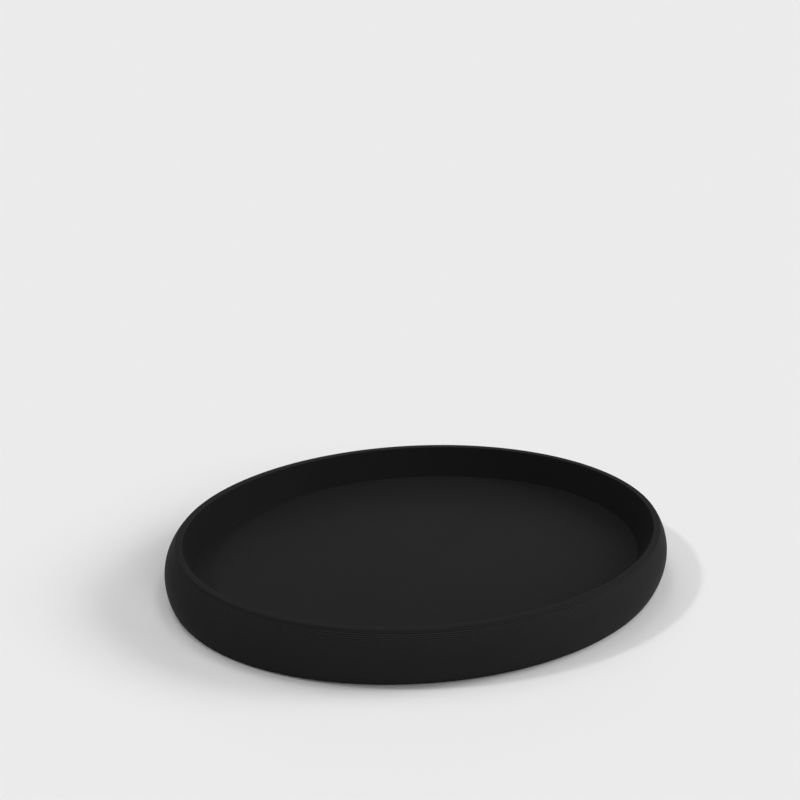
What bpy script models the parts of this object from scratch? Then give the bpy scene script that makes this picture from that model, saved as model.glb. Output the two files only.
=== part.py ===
"""Oval soap dish: a one-piece dish with a ribbed, barrel-shaped wall, on a bonded non-slip pad.

Lengths are in metres. +Z is up and +X runs along the dish. The origin lies on the
surface that the dish stands on, under its middle.
"""

import math

import bmesh
import bpy

# Outside of the dish
OVERALL_LENGTH = 0.135      # across the belly, along X
OVERALL_WIDTH = 0.102       # across the belly, along Y
OVERALL_HEIGHT = 0.0138     # from the surface below to the rim
BELLY_HEIGHT = 0.0067       # height of the widest line
BELLY_OVERHANG = 0.0025     # how far the belly stands out past the rim's outer edge
LOWER_RADIUS = 0.013        # arc of the wall under the belly
BASE_EDGE_RADIUS = 0.0006   # round between the wall and the foot ring

# Level ribs round the outer wall
RIB_PITCH = 0.0004
RIB_DEPTH = 0.00012         # from the barrel's surface in to the valleys, just under the rim
LOWER_RIB_SHARE = 0.25      # of that depth, what the valleys still have at the belly and below

# Rim, inner wall and floor
RIM_WIDTH = 0.0017          # flat top of the wall
RIM_EDGE_RADIUS = 0.0002    # both edges of the rim
FLOOR_HEIGHT = 0.006        # top of the floor
INNER_WALL_LEAN = 0.0032    # how far the inner wall runs in on its way down to the floor
FLOOR_CORNER_RADIUS = 0.0005

# Underside and pad
PAD_STAND = 0.0004          # how far the pad holds the foot ring off the surface
RECESS_DEPTH = 0.0013
FOOT_RING_WIDTH = 0.0055    # from the wall's lowest line in to the recess
BOND_GAP = 0.0003           # adhesive film between the pad and the recess
PAD_SIDE_CLEARANCE = 0.0003
PAD_EDGE_RADIUS = 0.0003

# Facets
ROUND_STEPS = 72
FILLET_STEPS = 2
WELD_DISTANCE = 0.000003    # joins the loose ends of a curve's caps
SHARP_ANGLE = math.radians(30)

BODY_COLOUR = (0.008, 0.008, 0.008, 1.0)
BODY_ROUGHNESS = 0.5
PAD_COLOUR = (0.009, 0.009, 0.009, 1.0)
PAD_ROUGHNESS = 0.9


def clear_scene():
    for obj in list(bpy.data.objects):
        bpy.data.objects.remove(obj, do_unlink=True)


def make_collection(name):
    collection = bpy.data.collections.new(name)
    bpy.context.scene.collection.children.link(collection)
    return collection


def make_material(name, colour, roughness):
    material = bpy.data.materials.new(name)
    material.use_nodes = True
    shader = material.node_tree.nodes["Principled BSDF"]
    shader.inputs["Base Color"].default_value = colour
    shader.inputs["Roughness"].default_value = roughness
    shader.inputs["Metallic"].default_value = 0.0
    return material


def oval(offset):
    """Points of the rim's outer oval, moved outwards by offset along its normals."""
    half_length = OVERALL_LENGTH / 2 - BELLY_OVERHANG
    half_width = OVERALL_WIDTH / 2 - BELLY_OVERHANG
    points = []
    for step in range(ROUND_STEPS):
        angle = math.tau * step / ROUND_STEPS
        across, along = math.sin(angle), math.cos(angle)
        stretch = math.hypot(half_width * along, half_length * across)
        points.append((
            half_length * along + offset * half_width * along / stretch,
            half_width * across + offset * half_length * across / stretch,
        ))
    return points


def arc(centre, radius, start, end, steps):
    """Points of an arc from angle start to angle end, both ends included."""
    points = []
    for step in range(steps + 1):
        angle = start + (end - start) * step / steps
        points.append((centre[0] + radius * math.cos(angle), centre[1] + radius * math.sin(angle)))
    return points


def fillet(before, corner, after, radius):
    """Points that round one corner of a profile."""
    sides = []
    for end in (before, after):
        length = math.dist(end, corner)
        sides.append(((end[0] - corner[0]) / length, (end[1] - corner[1]) / length, length))
    opening = math.acos(sides[0][0] * sides[1][0] + sides[0][1] * sides[1][1])
    reach = min(radius / math.tan(opening / 2), sides[0][2], sides[1][2])
    radius = reach * math.tan(opening / 2)
    middle = (sides[0][0] + sides[1][0], sides[0][1] + sides[1][1])
    to_centre = radius / math.sin(opening / 2) / math.hypot(*middle)
    centre = (corner[0] + middle[0] * to_centre, corner[1] + middle[1] * to_centre)
    ends = []
    for side in sides:
        touch = (corner[0] + side[0] * reach, corner[1] + side[1] * reach)
        ends.append(math.atan2(touch[1] - centre[1], touch[0] - centre[0]))
    turn = (ends[1] - ends[0] + math.pi) % math.tau - math.pi
    return arc(centre, radius, ends[0], ends[0] + turn, FILLET_STEPS)


def wall_offset(height):
    """How far the barrel stands outside the rim's outer edge at a height."""
    radius = LOWER_RADIUS
    if height > BELLY_HEIGHT:
        rise = OVERALL_HEIGHT - BELLY_HEIGHT
        radius = (rise ** 2 + BELLY_OVERHANG ** 2) / (2 * BELLY_OVERHANG)
    return BELLY_OVERHANG - radius + math.sqrt(radius ** 2 - (height - BELLY_HEIGHT) ** 2)


def recess_offset():
    return wall_offset(PAD_STAND) - FOOT_RING_WIDTH


def valley_depth(height):
    """How deep the ribs are cut at a height: they deepen from the belly up, as the wall leans in."""
    climb = (height - BELLY_HEIGHT) / (OVERALL_HEIGHT - BELLY_HEIGHT)
    return RIB_DEPTH * max(LOWER_RIB_SHARE, climb)


def ribbed_wall():
    """The barrel from the foot ring up to the rim, with ridges on its surface and valleys between."""
    bottom = PAD_STAND + BASE_EDGE_RADIUS
    top = OVERALL_HEIGHT - 2 * RIM_EDGE_RADIUS
    ribs = round((top - bottom) / RIB_PITCH)
    pitch = (top - bottom) / ribs
    points = [(wall_offset(bottom), bottom)]
    for rib in range(ribs):
        valley = bottom + (rib + 0.5) * pitch
        ridge = bottom + (rib + 1) * pitch
        points.append((wall_offset(valley) - valley_depth(valley), valley))
        points.append((wall_offset(ridge), ridge))
    return points


def dish_profile():
    """The cross-section from the recess round the outside and down to the floor."""
    ceiling = (recess_offset(), PAD_STAND + RECESS_DEPTH)
    recess_edge = (recess_offset(), PAD_STAND)
    base_corner = (wall_offset(PAD_STAND), PAD_STAND)
    wall = ribbed_wall()
    rim_outer = (0, OVERALL_HEIGHT)
    rim_inner = (-RIM_WIDTH, OVERALL_HEIGHT)
    floor_corner = (rim_inner[0] - INNER_WALL_LEAN, FLOOR_HEIGHT)
    floor_end = (floor_corner[0] - 2 * FLOOR_CORNER_RADIUS, FLOOR_HEIGHT)
    points = [ceiling, recess_edge]
    points += fillet(recess_edge, base_corner, wall[0], BASE_EDGE_RADIUS)
    points += wall
    points += fillet(wall[-1], rim_outer, rim_inner, RIM_EDGE_RADIUS)
    points += fillet(rim_outer, rim_inner, floor_corner, RIM_EDGE_RADIUS)
    points += fillet(rim_inner, floor_corner, floor_end, FLOOR_CORNER_RADIUS)
    points.append(floor_end)
    return points


def poly_curve(name, points, closed):
    """A flat curve object with straight pieces between its points."""
    curve = bpy.data.curves.new(name, "CURVE")
    curve.dimensions = "2D"
    curve.fill_mode = "NONE"
    spline = curve.splines.new("POLY")
    spline.points.add(len(points) - 1)
    for point, (x, y) in zip(spline.points, points):
        point.co = (x, y, 0.0, 1.0)
    spline.use_cyclic_u = closed
    return bpy.data.objects.new(name, curve)


def mesh_from(obj, name, collection):
    """A mesh object made from a curve object as it is evaluated."""
    bpy.context.view_layer.update()
    evaluated = obj.evaluated_get(bpy.context.evaluated_depsgraph_get())
    mesh = bpy.data.meshes.new_from_object(evaluated)
    mesh.name = name
    made = bpy.data.objects.new(name, mesh)
    made.matrix_world = obj.matrix_world
    collection.objects.link(made)
    return made


def close_and_finish(obj, material):
    """Fills the open loops, turns the faces outwards and shades round faces smooth."""
    mesh = obj.data
    bm = bmesh.new()
    bm.from_mesh(mesh)
    bmesh.ops.remove_doubles(bm, verts=bm.verts, dist=WELD_DISTANCE)
    open_edges = [edge for edge in bm.edges if edge.is_boundary]
    bmesh.ops.holes_fill(bm, edges=open_edges, sides=0)
    bmesh.ops.recalc_face_normals(bm, faces=bm.faces)
    bm.to_mesh(mesh)
    bm.free()
    mesh.materials.clear()
    mesh.materials.append(material)
    mesh.shade_smooth()
    mesh.set_sharp_from_angle(angle=SHARP_ANGLE)


def make_dish_body(parts, guides):
    path = poly_curve("rim_path", oval(0), True)
    # a closed flat path sweeps its profile with X towards the inside
    swept = [(-offset, height) for offset, height in dish_profile()]
    profile = poly_curve("wall_profile", swept, False)
    for guide in (path, profile):
        guides.objects.link(guide)
        guide.hide_render = True
        guide.display_type = "WIRE"
    path.data.bevel_mode = "OBJECT"
    path.data.bevel_object = profile
    body = mesh_from(path, "dish_body", parts)
    path.data.bevel_object = None
    close_and_finish(body, make_material("matte_black_body", BODY_COLOUR, BODY_ROUGHNESS))
    return body


def make_non_slip_pad(parts, guides):
    thickness = PAD_STAND + RECESS_DEPTH - BOND_GAP
    outline = poly_curve("pad_outline", oval(recess_offset() - PAD_SIDE_CLEARANCE), True)
    guides.objects.link(outline)
    outline.data.fill_mode = "BOTH"
    outline.data.extrude = thickness / 2 - PAD_EDGE_RADIUS
    outline.data.bevel_depth = PAD_EDGE_RADIUS
    outline.data.bevel_resolution = 1
    outline.data.offset = -PAD_EDGE_RADIUS
    outline.location.z = thickness / 2
    pad = mesh_from(outline, "non_slip_pad", parts)
    bpy.data.objects.remove(outline, do_unlink=True)
    close_and_finish(pad, make_material("soft_pad", PAD_COLOUR, PAD_ROUGHNESS))
    return pad


def main():
    clear_scene()
    parts = make_collection("soap_dish")
    guides = make_collection("guides")
    make_dish_body(parts, guides)
    make_non_slip_pad(parts, guides)


main()
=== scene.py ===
"""Dresses the oval soap dish: the ribbed dish body, the pad under it, and a plain studio.

It is laid out as an add-on and run as a script. Lengths are in metres, +Z is up and +X
runs along the dish, as in the frame.
"""

import math

import bmesh
import bpy
from mathutils import Matrix, Vector


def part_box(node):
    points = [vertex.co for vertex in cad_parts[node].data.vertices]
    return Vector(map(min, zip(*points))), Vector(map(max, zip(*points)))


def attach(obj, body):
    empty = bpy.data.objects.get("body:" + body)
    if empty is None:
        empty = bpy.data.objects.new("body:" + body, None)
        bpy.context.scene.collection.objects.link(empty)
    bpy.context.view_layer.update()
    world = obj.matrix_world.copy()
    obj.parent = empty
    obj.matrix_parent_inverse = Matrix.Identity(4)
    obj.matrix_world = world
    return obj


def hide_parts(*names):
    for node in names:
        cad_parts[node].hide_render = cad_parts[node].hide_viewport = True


bl_info = {
    "name": "Oval soap dish",
    "version": (1, 0, 0),
    "blender": (4, 5, 0),
    "location": "3D View > Sidebar > Soap dish",
    "description": "Builds an oval soap dish with a finely ribbed wall, its pad and a plain studio",
    "category": "Object",
}

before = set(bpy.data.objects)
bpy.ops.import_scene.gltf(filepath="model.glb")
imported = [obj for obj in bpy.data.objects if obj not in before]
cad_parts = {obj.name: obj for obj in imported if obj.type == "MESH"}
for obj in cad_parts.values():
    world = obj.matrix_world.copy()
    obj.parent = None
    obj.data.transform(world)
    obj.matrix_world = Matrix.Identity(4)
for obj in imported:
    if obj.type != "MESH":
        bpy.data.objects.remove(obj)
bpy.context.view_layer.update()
DISH_LOW, DISH_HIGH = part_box("dish_body")
PAD_LOW, PAD_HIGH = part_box("non_slip_pad")

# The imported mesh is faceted, so the smooth one stays this far inside its box
FACET_ALLOWANCE = 0.00001
# Steps round the oval, from one ridge to the next, and round a corner of a section
ROUND_STEPS = 288
RIB_STEPS = 6
FILLET_STEPS = 5
# How long a section's flat ends are, in radii of the floor's corner and of the pad's edge
BODY_STRIP = 4
PAD_STRIP = 6
# Where the rings lie that close a flat face, as shares of its size
FAN_SHARES = (0.72, 0.4, 0.12)
WELD_DISTANCE = 0.000001
SHARP_ANGLE = math.radians(35)
# How fast the ribs' painted highlights and shade fade from the rim down, and how much painted shade the
# smooth band above them gets
RIB_SHADE_FADE = 5
SMOOTH_BAND_SHADE = 0.22
# Detail of the noises, their mean, and the broad one's share of the body's clouds
GRAIN_DETAIL = 3.0
CLOUD_DETAIL = 2.0
NOISE_MEAN = 0.5
CLOUD_SHARE = 0.6


class Link:
    """An output socket of a node. Python's operators on it add Math nodes."""

    def __init__(self, graph, socket):
        self.graph = graph
        self.socket = socket

    def output(self, name):
        """Another output of the same node."""
        return Link(self.graph, self.socket.node.outputs[name])

    def math(self, operation, *others):
        """A Math node whose first value is this socket."""
        values = dict(enumerate((self, *others)))
        return self.graph.add("ShaderNodeMath", {"operation": operation}, values)

    def clamped(self):
        """This value, kept between nothing and one."""
        return self.math("MAXIMUM", 0).math("MINIMUM", 1)

    def __add__(self, other):
        return self.math("ADD", other)

    __radd__ = __add__

    def __sub__(self, other):
        return self.math("SUBTRACT", other)

    def __rsub__(self, other):
        return -self + other

    def __mul__(self, other):
        return self.math("MULTIPLY", other)

    __rmul__ = __mul__

    def __truediv__(self, other):
        return self.math("DIVIDE", other)

    def __neg__(self):
        return self.math("MULTIPLY", -1)

    def __lt__(self, other):
        return self.math("LESS_THAN", other)


class Graph:
    """Adds nodes to one node tree and links them."""

    def __init__(self, tree):
        self.tree = tree

    def add(self, kind, settings=None, values=None, output=0):
        """A node's settings are set first, then each of its sockets takes a value or a link.

        The setting "items" is how many items an index switch has. A list is for a socket that
        takes several links.
        """
        node = self.tree.nodes.new(kind)
        for name, setting in (settings or {}).items():
            if name == "items":
                while len(node.index_switch_items) < setting:
                    node.index_switch_items.new()
            else:
                setattr(node, name, setting)
        for key, value in (values or {}).items():
            if isinstance(value, (Link, list)):
                self.feed(node, key, value)
            else:
                node.inputs[key].default_value = value
        return Link(self, node.outputs[output]) if len(node.outputs) else None

    def feed(self, node, key, value):
        """Links one value, or each of a list, to an input of a node."""
        for link in value if isinstance(value, list) else [value]:
            self.tree.links.new(link.socket, node.inputs[key])

    def vector(self, x=0.0, y=0.0, z=0.0):
        """A vector from its three parts."""
        return self.add("ShaderNodeCombineXYZ", None, {"X": x, "Y": y, "Z": z})

    def scaled(self, vector, factors):
        """A vector times a vector, part by part."""
        settings = {"operation": "MULTIPLY"}
        return self.add("ShaderNodeVectorMath", settings, {0: vector, 1: factors})

    def mixed(self, factor, start, end):
        """A colour that goes from start to end with a factor."""
        # a Mix node's inputs 6 and 7 and its output 2 are the ones for colours
        values = {"Factor": factor, 6: start, 7: end}
        return self.add("ShaderNodeMix", {"data_type": "RGBA"}, values, 2)


class ShapeGraph(Graph):
    """A Geometry Nodes tree with named inputs for its sizes."""

    def __init__(self, name, sizes, shares, counts):
        super().__init__(bpy.data.node_groups.new(name, "GeometryNodeTree"))
        panel = self.tree.interface
        panel.new_socket("Geometry", in_out="OUTPUT", socket_type="NodeSocketGeometry")
        for size in sizes:
            socket = panel.new_socket(size, in_out="INPUT", socket_type="NodeSocketFloat")
            socket.subtype = "DISTANCE"
        for share in shares:
            panel.new_socket(share, in_out="INPUT", socket_type="NodeSocketFloat")
        for count in counts:
            panel.new_socket(count, in_out="INPUT", socket_type="NodeSocketInt")
        panel.new_socket("Material", in_out="INPUT", socket_type="NodeSocketMaterial")
        self.inputs = self.tree.nodes.new("NodeGroupInput")

    def given(self, name):
        """One of the tree's named inputs."""
        return Link(self, self.inputs.outputs[name])

    def section(self, out, up):
        """A point of a section. A section swept along a flat path hangs down along its own Y."""
        return self.vector(out, -up)

    def polyline(self, points, radii):
        """A flat line through points, (out, up) pairs, rounded at each by its radius."""
        line = self.add("GeometryNodeCurvePrimitiveLine")
        line = self.add("GeometryNodeResampleCurve", None, {"Curve": line, "Count": len(points)})
        index = self.add("GeometryNodeInputIndex")
        places = {"Index": index}
        rounds = {"Index": index}
        for number, ((out, up), radius) in enumerate(zip(points, radii)):
            places[str(number)] = self.section(out, up)
            rounds[str(number)] = radius
        settings = {"data_type": "VECTOR", "items": len(points)}
        position = self.add("GeometryNodeIndexSwitch", settings, places)
        settings = {"data_type": "FLOAT", "items": len(points)}
        rounding = self.add("GeometryNodeIndexSwitch", settings, rounds)
        line = self.add("GeometryNodeSetPosition", None, {"Geometry": line, "Position": position})
        values = {"Curve": line, "Count": FILLET_STEPS, "Radius": rounding, "Limit Radius": True}
        return self.add("GeometryNodeFilletCurve", {"mode": "POLY"}, values)

    def oval(self, half_length, half_width):
        """A closed oval path in the XY plane."""
        values = {"Resolution": self.given("Round Steps"), "Radius": 1.0}
        circle = self.add("GeometryNodeCurvePrimitiveCircle", {"mode": "RADIUS"}, values)
        position = self.add("GeometryNodeInputPosition")
        place = self.scaled(position, self.vector(half_length, half_width))
        path = self.add("GeometryNodeSetPosition", None, {"Geometry": circle, "Position": place})
        return self.add("GeometryNodeSetCurveNormal", {"mode": "Z_UP"}, {"Curve": path})

    def sweep(self, path, profile):
        """The profile swept round the path, its open loops closed by fans about the middle."""
        values = {"Curve": path, "Profile Curve": profile}
        mesh = self.add("GeometryNodeCurveToMesh", None, values)
        weld = {"Distance": WELD_DISTANCE}
        mesh = self.add("GeometryNodeMergeByDistance", None, {"Geometry": mesh, **weld})
        # an edge with one face is open. A Compare node's inputs 2 and 3 are its whole numbers
        faces = self.add("GeometryNodeInputMeshEdgeNeighbors")
        settings = {"data_type": "INT", "operation": "EQUAL"}
        loop = self.add("FunctionNodeCompare", settings, {2: faces, 3: 1})
        position = self.add("GeometryNodeInputPosition")
        last = 1.0
        for share in (*FAN_SHARES, 0.0):
            values = {"Mesh": mesh, "Selection": loop, "Offset Scale": 0.0}
            mesh = self.add("GeometryNodeExtrudeMesh", {"mode": "EDGES"}, values)
            loop = mesh.output("Top")
            place = self.scaled(position, self.vector(share / last, share / last, 1.0))
            values = {"Geometry": mesh, "Selection": loop, "Position": place}
            mesh = self.add("GeometryNodeSetPosition", None, values)
            last = share
        return self.add("GeometryNodeMergeByDistance", None, {"Geometry": mesh, **weld})

    def finish(self, geometry):
        """The tree, once its geometry is made real and has its material."""
        geometry = self.add("GeometryNodeRealizeInstances", None, {"Geometry": geometry})
        values = {"Geometry": geometry, "Material": self.given("Material")}
        geometry = self.add("GeometryNodeSetMaterial", None, values)
        self.add("NodeGroupOutput", None, {"Geometry": geometry})
        return self.tree


def plain_mesh(name, tree, values):
    """The object that a tree makes with these named inputs, as a plain mesh."""
    piece = bpy.data.objects.new(name, bpy.data.meshes.new(name + "_seed"))
    bpy.context.scene.collection.objects.link(piece)
    modifier = piece.modifiers.new(name, "NODES")
    modifier.node_group = tree
    for item in tree.interface.items_tree:
        if item.item_type == "SOCKET" and item.in_out == "INPUT":
            modifier[item.identifier] = values[item.name]
    bpy.context.view_layer.update()
    depsgraph = bpy.context.evaluated_depsgraph_get()
    mesh = bpy.data.meshes.new_from_object(piece.evaluated_get(depsgraph), depsgraph=depsgraph)
    piece.modifiers.clear()
    seed = piece.data
    piece.data = mesh
    bpy.data.meshes.remove(seed)
    mesh.name = name
    return piece


def turn_outwards(piece):
    """Turns the faces of a closed mesh outwards and shades its round faces smooth."""
    bm = bmesh.new()
    bm.from_mesh(piece.data)
    open_edges = sum(1 for edge in bm.edges if not edge.is_manifold)
    bmesh.ops.recalc_face_normals(bm, faces=bm.faces)
    volume = bm.calc_volume(signed=True)
    bm.to_mesh(piece.data)
    bm.free()
    if open_edges or volume <= 0:
        raise RuntimeError(f"{piece.name}: {open_edges} open edges, volume {volume:.3g}")
    piece.data.shade_smooth()
    piece.data.set_sharp_from_angle(angle=SHARP_ANGLE)


def valley_share(turn):
    """Nothing on the ridges, at whole turns, and one in the valleys half way between them."""
    return 1 - (2 * turn.math("FRACT") - 1).math("ABSOLUTE")


def dish_body_tree():
    """The dish: three lines of its section, swept together round the rim's oval."""
    sizes = (
        "Length", "Width", "Foot", "Height", "Belly Height", "Belly Overhang", "Lower Radius",
        "Base Edge Radius", "Rim Width", "Rim Edge Radius", "Floor Height", "Inner Wall Lean",
        "Floor Corner Radius", "Recess Depth", "Foot Ring Width", "Rib Pitch", "Rib Depth",
    )
    graph = ShapeGraph("dish_body_shape", sizes, ("Lower Rib Share",), ("Rib Steps", "Round Steps"))
    given = graph.given
    foot, height = given("Foot"), given("Height")
    belly, overhang = given("Belly Height"), given("Belly Overhang")
    edge, rim_edge = given("Base Edge Radius"), given("Rim Edge Radius")
    depth, steps = given("Rib Depth"), given("Rib Steps")
    rise = height - belly
    upper_radius = (rise * rise + overhang * overhang) / (2 * overhang)

    def wall(up):
        """How far the barrel stands outside the rim's outer edge at a height."""
        below = up < belly
        radius = upper_radius + (given("Lower Radius") - upper_radius) * below
        above = up - belly
        return overhang - radius + (radius * radius - above * above).math("SQRT")

    bottom = foot + edge
    top = height - 2 * rim_edge
    ribs = ((top - bottom) / given("Rib Pitch")).math("ROUND")
    line = graph.add("GeometryNodeCurvePrimitiveLine")
    values = {"Curve": line, "Count": ribs * steps + 1}
    line = graph.add("GeometryNodeResampleCurve", None, values)
    index = graph.add("GeometryNodeInputIndex")
    turn = index / steps
    up = bottom + (top - bottom) * turn / ribs
    # squared, it leaves the ridges round
    cut = valley_share(turn)
    climb = ((up - belly) / rise).math("MAXIMUM", given("Lower Rib Share"))
    place = graph.section(wall(up) - depth * climb * cut * cut, up)
    barrel = graph.add("GeometryNodeSetPosition", None, {"Geometry": line, "Position": place})

    recess = wall(foot) - given("Foot Ring Width")
    ceiling = foot + given("Recess Depth")
    corner = given("Floor Corner Radius")
    points = (
        (recess - BODY_STRIP * corner, ceiling),
        (recess, ceiling),
        (recess, foot),
        (wall(foot), foot),
        (wall(bottom), bottom),
    )
    underside = graph.polyline(points, (0.0, rim_edge, rim_edge, edge, 0.0))
    floor = given("Floor Height")
    floor_corner = -given("Rim Width") - given("Inner Wall Lean")
    points = (
        (wall(top), top),
        (0.0, height),
        (-given("Rim Width"), height),
        (floor_corner, floor),
        (floor_corner - BODY_STRIP * corner, floor),
    )
    inside = graph.polyline(points, (0.0, rim_edge, rim_edge, corner, 0.0))
    profile = graph.add("GeometryNodeJoinGeometry", None, {"Geometry": [underside, barrel, inside]})
    path = graph.oval(given("Length") / 2 - overhang, given("Width") / 2 - overhang)
    return graph.finish(graph.sweep(path, profile))


def pad_tree():
    """The pad: its edge, with a strip of both its faces, swept round its own oval."""
    sizes = ("Length", "Width", "Thickness", "Edge Radius")
    graph = ShapeGraph("non_slip_pad_shape", sizes, (), ("Round Steps",))
    thickness, edge = graph.given("Thickness"), graph.given("Edge Radius")
    strip = -PAD_STRIP * edge
    points = ((strip, 0.0), (0.0, 0.0), (0.0, thickness), (strip, thickness))
    profile = graph.polyline(points, (0.0, edge, edge, 0.0))
    path = graph.oval(graph.given("Length") / 2, graph.given("Width") / 2)
    return graph.finish(graph.sweep(path, profile))


def material_graph(name, roughness, specular):
    """A new material, its graph and its shader, with what is the same all over set on it."""
    material = bpy.data.materials.new(name)
    material.use_nodes = True
    graph = Graph(material.node_tree)
    shader = material.node_tree.nodes["Principled BSDF"]
    shader.inputs["Roughness"].default_value = roughness
    shader.inputs["Specular IOR Level"].default_value = specular
    return material, graph, shader


def own_place(graph):
    """Where a point lies in the piece's own coordinates."""
    return graph.add("ShaderNodeTexCoord").output("Object")


def own_axis(graph, axis):
    """One part of where a point lies in the piece's own coordinates."""
    return graph.add("ShaderNodeSeparateXYZ", None, {"Vector": own_place(graph)}).output(axis)


def grain(graph, size, detail):
    """Noise on the piece's own coordinates, its cells about as wide as size."""
    values = {"Vector": own_place(graph), "Scale": 1 / size, "Detail": detail}
    return graph.add("ShaderNodeTexNoise", {"noise_dimensions": "3D"}, values)


def grain_bump(graph, finish, height):
    """The normal of a surface with this grain."""
    values = {"Strength": finish.grain_strength, "Distance": finish.grain_depth, "Height": height}
    return graph.add("ShaderNodeBump", None, values)


def wandering_colour(graph, colour, change, mask):
    """A colour that goes from a little darker to a little lighter with a mask."""
    dark = [channel * (1 - change) for channel in colour]
    light = [channel * (1 + change) for channel in colour]
    return graph.mixed(mask, (*dark, 1.0), (*light, 1.0))


def outside_mask(graph, shape):
    """One outside the rim's outer oval, and nothing from the rim's flat top inwards. Over the rim's outer
    round it blends in the lighter ribbed colour, a thin painted highlight line.
    """
    half_length = shape.length / 2 - shape.belly_overhang
    half_width = shape.width / 2 - shape.belly_overhang
    place = own_axis(graph, "X")
    along = place / half_length
    across = place.output("Y") / half_width
    outside = (along * along + across * across).math("SQRT") - 1
    return (1 + outside * half_width / shape.rim_edge_radius).clamped()


def inner_wall_shade_mask(graph, shape):
    """Where the inner wall gets its painted shade: one on the inner wall, and nothing on the floor and on the
    rim.
    """
    up = own_axis(graph, "Z")
    over_floor = (up - shape.floor_height) / shape.floor_corner_radius
    under_rim = (shape.height - up) / shape.rim_edge_radius
    return over_floor.clamped() * under_rim.clamped()


def painted_rib_shade(graph, shape, contrast):
    """A factor for the ribs' colour: over one on the ridges, a painted highlight, and under one in the
    valleys, painted shade.

    It is strongest just under the rim. The smooth band above the ribs gets a little painted shade too.
    """
    up = own_axis(graph, "Z")
    bottom = shape.foot + shape.base_edge_radius
    ribbed = shape.height - 2 * shape.rim_edge_radius - bottom
    turn = (up - bottom) * (round(ribbed / shape.rib_pitch) / ribbed)
    climb = (up - shape.belly_height) / (shape.height - shape.belly_height)
    climb = climb.math("MAXIMUM", shape.lower_rib_share)
    wave = climb.math("POWER", RIB_SHADE_FADE) * (1 - 2 * valley_share(turn))
    painted = up < bottom + ribbed
    return 1 + contrast * (painted * wave - SMOOTH_BAND_SHADE * (1 - painted))


def matte_black_material(shape, finish):
    """Dull black body: soft grain, faint clouds, painted shade on the inner wall, and a lighter ribbed wall
    with painted bounce light, painted highlights on its ridges and painted shade in its valleys.
    """
    name = "matte_black_body"
    material, graph, shader = material_graph(name, finish.body_roughness, finish.body_specular)
    fine = grain(graph, finish.grain_size, GRAIN_DETAIL)
    broad = grain(graph, finish.cloud_size, CLOUD_DETAIL)
    clouds = CLOUD_SHARE * broad + (1 - CLOUD_SHARE) * fine
    smooth = wandering_colour(graph, finish.body_colour, finish.colour_change, clouds)
    # painted shade: a darker copy of the body's colour on the inner wall, for the shade inside the dish
    inner = wandering_colour(graph, finish.shaded_inner_wall_colour, finish.colour_change, clouds)
    # painted light: a lighter copy of the body's colour on the ribbed outer wall, for the light the floor
    # throws up onto it
    ribbed = wandering_colour(graph, finish.bounce_lit_rib_colour, finish.colour_change, clouds)
    smooth = graph.mixed(inner_wall_shade_mask(graph, shape), smooth, inner)
    # painted highlights on the ridges, painted shade in the valleys and in the smooth band under the rim
    shade = painted_rib_shade(graph, shape, finish.painted_rib_contrast)
    ribbed = graph.scaled(ribbed, graph.vector(shade, shade, shade))
    graph.feed(shader, "Base Color", graph.mixed(outside_mask(graph, shape), smooth, ribbed))
    roughness = finish.body_roughness + finish.roughness_change * (fine - NOISE_MEAN)
    graph.feed(shader, "Roughness", roughness)
    graph.feed(shader, "Normal", grain_bump(graph, finish, fine))
    return material


def pad_material(finish):
    """Black rubber pad: close pores and a very dull sheen."""
    name = "non_slip_rubber"
    material, graph, shader = material_graph(name, finish.pad_roughness, finish.pad_specular)
    values = {"Vector": own_place(graph), "Scale": 1 / finish.pore_size}
    pores = graph.add("ShaderNodeTexVoronoi", {"feature": "F1"}, values)
    fine = grain(graph, finish.grain_size, GRAIN_DETAIL)
    colour = wandering_colour(graph, finish.pad_colour, finish.colour_change, fine)
    graph.feed(shader, "Base Color", colour)
    graph.feed(shader, "Normal", grain_bump(graph, finish, pores + fine))
    return material


def length_property(name, description, default):
    """A length that a user would change."""
    return bpy.props.FloatProperty(
        name=name, description=description, default=default, min=0.0, unit="LENGTH", precision=5,
    )


def share_property(name, description, default):
    """A share from nothing to one."""
    return bpy.props.FloatProperty(
        name=name, description=description, default=default, min=0.0, max=1.0, subtype="FACTOR",
    )


def colour_property(name, description, default):
    """A linear colour."""
    return bpy.props.FloatVectorProperty(
        name=name, description=description, default=default, min=0.0, max=1.0, size=3, subtype="COLOR",
    )


class SoapDishShape(bpy.types.PropertyGroup):
    """Sizes of the dish and its pad. The outer ones come from the frame."""

    length: length_property("Length", "Across the belly, along X", DISH_HIGH.x - DISH_LOW.x)
    width: length_property("Width", "Across the belly, along Y", DISH_HIGH.y - DISH_LOW.y)
    foot: length_property("Foot", "Height of the foot ring's underside", DISH_LOW.z)
    height: length_property("Height", "Height of the rim", DISH_HIGH.z)
    belly_height: length_property("Belly height", "Height of the widest line", 0.0067)
    belly_overhang: length_property("Belly overhang", "From the rim's outer edge out to the belly", 0.0025)
    lower_radius: length_property("Lower radius", "Arc of the wall under the belly", 0.013)
    base_edge_radius: length_property("Base edge", "Round between the wall and the foot ring", 0.0006)
    rim_width: length_property("Rim width", "Flat top of the wall", 0.0017)
    rim_edge_radius: length_property("Rim edge", "Round on the rim's edges", 0.0002)
    floor_height: length_property("Floor height", "Top of the floor", 0.006)
    inner_wall_lean: length_property("Inner wall lean", "How far the wall runs in to the floor", 0.0032)
    floor_corner_radius: length_property("Floor corner", "Round where the wall meets the floor", 0.00015)
    recess_depth: length_property("Recess depth", "Depth of the recess for the pad", 0.0013)
    foot_ring_width: length_property("Foot ring", "From the wall in to the recess", 0.0055)
    rib_pitch: length_property("Rib pitch", "Height of one level rib", 0.0004)
    rib_depth: length_property("Rib depth", "From a ridge in to the valley, just under the rim", 0.00012)
    lower_rib_share: share_property("Lower ribs", "Of that depth, what is left at the belly", 0.25)
    pad_edge_radius: length_property("Pad edge", "Round on the pad's edges", 0.0003)


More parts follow.
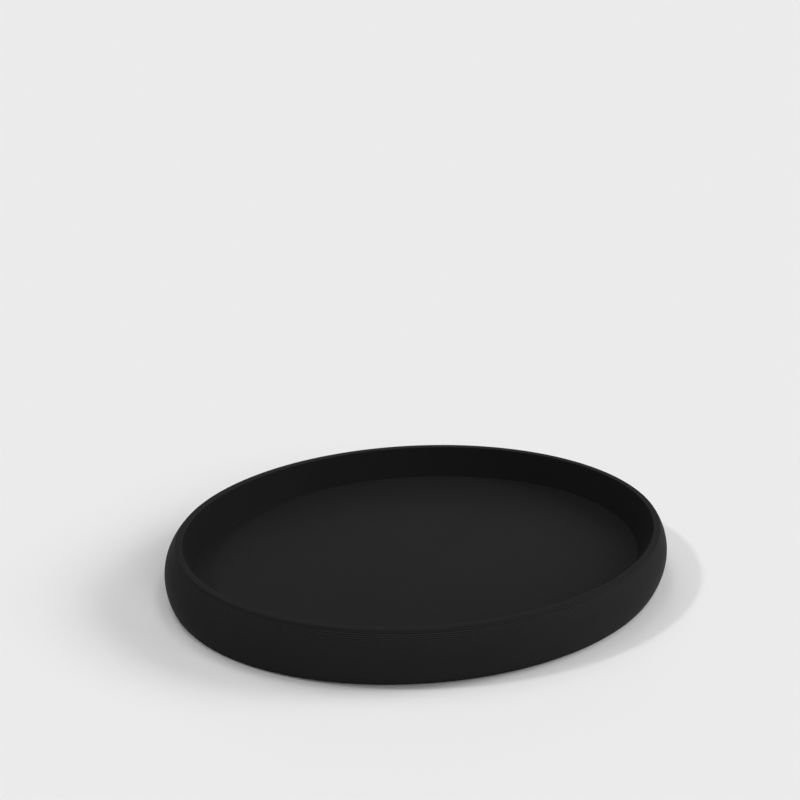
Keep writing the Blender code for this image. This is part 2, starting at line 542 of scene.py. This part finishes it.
class SoapDishFinish(bpy.types.PropertyGroup):
    """Colours and surface grain of the dish and its pad."""

    body_colour: colour_property("Body colour", "Of the floor, rim and underside", (0.0115, 0.0115, 0.0115))
    # painted shade: darker than the body's colour, for the shade on the inner wall
    shaded_inner_wall_colour: colour_property("Inner wall colour", "Of the smooth inner wall", (0.009, 0.009, 0.009))
    # painted light: lighter than the body's colour, for the light the floor throws up onto the outer wall
    bounce_lit_rib_colour: colour_property("Rib colour", "Of the ribbed outer wall", (0.0175, 0.0175, 0.0175))
    # how strong the painted highlights on the ridges and the painted shade in the valleys are
    painted_rib_contrast: share_property("Rib contrast", "How far ridges and valleys differ under the rim", 0.85)
    body_roughness: share_property("Body roughness", "Mean roughness of the body", 0.5)
    body_specular: share_property("Body sheen", "Specular level of the body", 0.0125)
    pad_colour: colour_property("Pad colour", "Mean colour of the pad", (0.009, 0.009, 0.0095))
    pad_roughness: share_property("Pad roughness", "Mean roughness of the pad", 0.9)
    pad_specular: share_property("Pad sheen", "Specular level of the pad", 0.2)
    colour_change: share_property("Colour change", "How far the colours wander", 0.14)
    roughness_change: share_property("Roughness change", "How far the roughness wanders", 0.12)
    grain_strength: share_property("Grain strength", "Strength of the grain's bumps", 0.5)
    grain_size: length_property("Grain size", "Width of the finest grain", 0.00025)
    grain_depth: length_property("Grain depth", "Height of the grain", 0.00001)
    cloud_size: length_property("Cloud size", "Width of the faint clouds in the colour", 0.02)
    pore_size: length_property("Pore size", "Width of a pore in the pad", 0.0006)


class SoapDishStudio(bpy.types.PropertyGroup):
    """The floor, lamps and camera round the dish."""

    floor_shade: share_property("Floor shade", "Linear grey of the floor and backdrop", 0.83)
    backdrop_shade: share_property("Backdrop shade", "Linear grey of the surround, as seen", 0.83)
    even_light: share_property("Even light", "What the surround adds to the light on the floor", 0.1)
    lamp_strength: bpy.props.FloatProperty(
        name="Lamp strength", description="Of all the lamps together", default=1.0, min=0.0,
    )
    focal_length: bpy.props.FloatProperty(
        name="Focal length", description="Of the lens, in millimetres", default=61.58, min=1.0,
    )


# Where the camera stands, and where it looks from there
CAMERA_PLACE = (-0.16785, -0.26421, 0.16900)
CAMERA_HEADING = math.radians(30.82)
CAMERA_PITCH = math.radians(21.26)
CAMERA_ROLL = math.radians(3.65)
SENSOR_WIDTH = 36.0
CLIP_START = 0.01
FLOOR_SIZE = 60.0
# Distant lamps: share of the light, then heading from the camera's, height and spread in degrees.
# A heading of 90 is light from the right of the picture, and 180 is light from behind the camera.
LAMPS = {
    "right_key": (0.369, 75, 28, 26),
    "right_back": (0.125, 60, 35, 26),
    "right_low": (0.12, 105, 20, 24),
    "right_front": (0.202, 150, 30, 30),
    "right_overhead": (0.11, 90, 75, 16),
    "front_upper": (0.047, 180, 60, 30),
    "left_small": (0.225, 258, 45.5, 5),
    "left_overhead": (0.087, 270, 75, 16),
    "left_back": (0.126, 310, 60, 30),
    "back_low": (0.05, 0, 20, 24),
}


def build_dish_body(shape, finish):
    """The dish body, in place of the plain one."""
    values = {
        "Length": shape.length - 2 * FACET_ALLOWANCE,
        "Width": shape.width - 2 * FACET_ALLOWANCE,
        "Foot": shape.foot,
        "Height": shape.height,
        "Belly Height": shape.belly_height,
        "Belly Overhang": shape.belly_overhang,
        "Lower Radius": shape.lower_radius,
        "Base Edge Radius": shape.base_edge_radius,
        "Rim Width": shape.rim_width,
        "Rim Edge Radius": shape.rim_edge_radius,
        "Floor Height": shape.floor_height,
        "Inner Wall Lean": shape.inner_wall_lean,
        "Floor Corner Radius": shape.floor_corner_radius,
        "Recess Depth": shape.recess_depth,
        "Foot Ring Width": shape.foot_ring_width,
        "Rib Pitch": shape.rib_pitch,
        "Rib Depth": shape.rib_depth,
        "Lower Rib Share": shape.lower_rib_share,
        "Rib Steps": RIB_STEPS,
        "Round Steps": ROUND_STEPS,
        "Material": matte_black_material(shape, finish),
    }
    body = plain_mesh("ribbed_dish_body", dish_body_tree(), values)
    turn_outwards(body)
    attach(body, "root")
    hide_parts("dish_body")


def build_pad(shape, finish):
    """The pad, in place of the plain one."""
    values = {
        "Length": PAD_HIGH.x - PAD_LOW.x,
        "Width": PAD_HIGH.y - PAD_LOW.y,
        "Thickness": PAD_HIGH.z - PAD_LOW.z,
        "Edge Radius": shape.pad_edge_radius,
        "Round Steps": ROUND_STEPS,
        "Material": pad_material(finish),
    }
    pad = plain_mesh("rubber_pad", pad_tree(), values)
    turn_outwards(pad)
    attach(pad, "root")
    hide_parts("non_slip_pad")


def build_floor(studio):
    """A plain pale floor."""
    mesh = bpy.data.meshes.new("floor")
    bm = bmesh.new()
    bmesh.ops.create_grid(bm, x_segments=1, y_segments=1, size=FLOOR_SIZE / 2)
    bm.to_mesh(mesh)
    bm.free()
    floor = bpy.data.objects.new("floor", mesh)
    bpy.context.scene.collection.objects.link(floor)
    material, _, shader = material_graph("pale_floor", 1.0, 0.0)
    shader.inputs["Base Color"].default_value = (*[studio.floor_shade] * 3, 1.0)
    mesh.materials.append(material)


def build_world(studio):
    """A pale surround, seen by the camera and in gloss, that lights the scene only a little."""
    world = bpy.data.worlds.new("studio")
    bpy.context.scene.world = world
    world.use_nodes = True
    graph = Graph(world.node_tree)
    background = world.node_tree.nodes["Background"]
    background.inputs["Color"].default_value = (1.0, 1.0, 1.0, 1.0)
    ray = graph.add("ShaderNodeLightPath").output("Is Camera Ray")
    seen = ray + ray.output("Is Glossy Ray") + ray.output("Is Transmission Ray")
    brighter = studio.backdrop_shade - studio.even_light
    graph.feed(background, "Strength", studio.even_light + brighter * seen.math("MINIMUM", 1))


def build_lamp(name, strength, heading, height, spread):
    """A distant lamp, soft by its spread."""
    light = bpy.data.lights.new(name, "SUN")
    # a white surface that faces a lamp of this energy is as bright as the strength
    light.energy = math.pi * strength
    light.angle = math.radians(spread)
    lamp = bpy.data.objects.new(name, light)
    heading = CAMERA_HEADING + math.radians(heading)
    height = math.radians(height)
    across = math.cos(height)
    towards = Vector((math.sin(heading) * across, math.cos(heading) * across, math.sin(height)))
    lamp.rotation_euler = towards.to_track_quat("Z", "Y").to_euler()
    bpy.context.scene.collection.objects.link(lamp)


def build_camera(studio):
    """The camera at the photograph's viewing angle."""
    data = bpy.data.cameras.new("camera")
    data.lens = studio.focal_length
    data.sensor_width = SENSOR_WIDTH
    data.clip_start = CLIP_START
    data.clip_end = FLOOR_SIZE
    camera = bpy.data.objects.new("camera", data)
    turn = Matrix.Rotation(-CAMERA_HEADING, 4, "Z")
    tip = Matrix.Rotation(math.pi / 2 - CAMERA_PITCH, 4, "X")
    roll = Matrix.Rotation(CAMERA_ROLL, 4, "Z")
    camera.matrix_world = Matrix.Translation(CAMERA_PLACE) @ turn @ tip @ roll
    bpy.context.scene.collection.objects.link(camera)
    bpy.context.scene.camera = camera


class SOAPDISH_OT_dish_body(bpy.types.Operator):
    """Build the ribbed dish body"""

    bl_idname = "soapdish.dish_body"
    bl_label = "Dish body"

    def execute(self, context):
        build_dish_body(context.scene.soap_dish_shape, context.scene.soap_dish_finish)
        return {"FINISHED"}


class SOAPDISH_OT_pad(bpy.types.Operator):
    """Build the pad under the dish"""

    bl_idname = "soapdish.pad"
    bl_label = "Non-slip pad"

    def execute(self, context):
        build_pad(context.scene.soap_dish_shape, context.scene.soap_dish_finish)
        return {"FINISHED"}


class SOAPDISH_OT_studio(bpy.types.Operator):
    """Set up the floor, the lamps and the camera"""

    bl_idname = "soapdish.studio"
    bl_label = "Studio"

    def execute(self, context):
        studio = context.scene.soap_dish_studio
        context.scene.view_settings.view_transform = "Standard"
        build_floor(studio)
        build_world(studio)
        for name, (share, heading, height, spread) in LAMPS.items():
            build_lamp(name, share * studio.lamp_strength, heading, height, spread)
        build_camera(studio)
        return {"FINISHED"}


class SOAPDISH_PT_sidebar(bpy.types.Panel):
    """Sizes, finish and studio of the soap dish"""

    bl_label = "Soap dish"
    bl_idname = "SOAPDISH_PT_sidebar"
    bl_space_type = "VIEW_3D"
    bl_region_type = "UI"
    bl_category = "Soap dish"

    def draw(self, context):
        for group, _, operators in GROUPS:
            box = self.layout.box()
            settings = getattr(context.scene, group)
            for name in settings.__annotations__:
                box.prop(settings, name)
            for operator in operators:
                box.operator(operator.bl_idname)


# Each group of settings, by its name on the scene, with the operators that belong under it
GROUPS = (
    ("soap_dish_shape", SoapDishShape, (SOAPDISH_OT_dish_body, SOAPDISH_OT_pad)),
    ("soap_dish_finish", SoapDishFinish, ()),
    ("soap_dish_studio", SoapDishStudio, (SOAPDISH_OT_studio,)),
)
CLASSES = (
    SoapDishShape,
    SoapDishFinish,
    SoapDishStudio,
    SOAPDISH_OT_dish_body,
    SOAPDISH_OT_pad,
    SOAPDISH_OT_studio,
    SOAPDISH_PT_sidebar,
)


def register():
    for cls in CLASSES:
        bpy.utils.register_class(cls)
    for name, group, _ in GROUPS:
        setattr(bpy.types.Scene, name, bpy.props.PointerProperty(type=group))


def unregister():
    for name, _, _ in GROUPS:
        delattr(bpy.types.Scene, name)
    for cls in reversed(CLASSES):
        bpy.utils.unregister_class(cls)


def main():
    register()
    bpy.ops.soapdish.dish_body()
    bpy.ops.soapdish.pad()
    bpy.ops.soapdish.studio()
    bpy.context.view_layer.update()


if __name__ == "__main__":
    main()
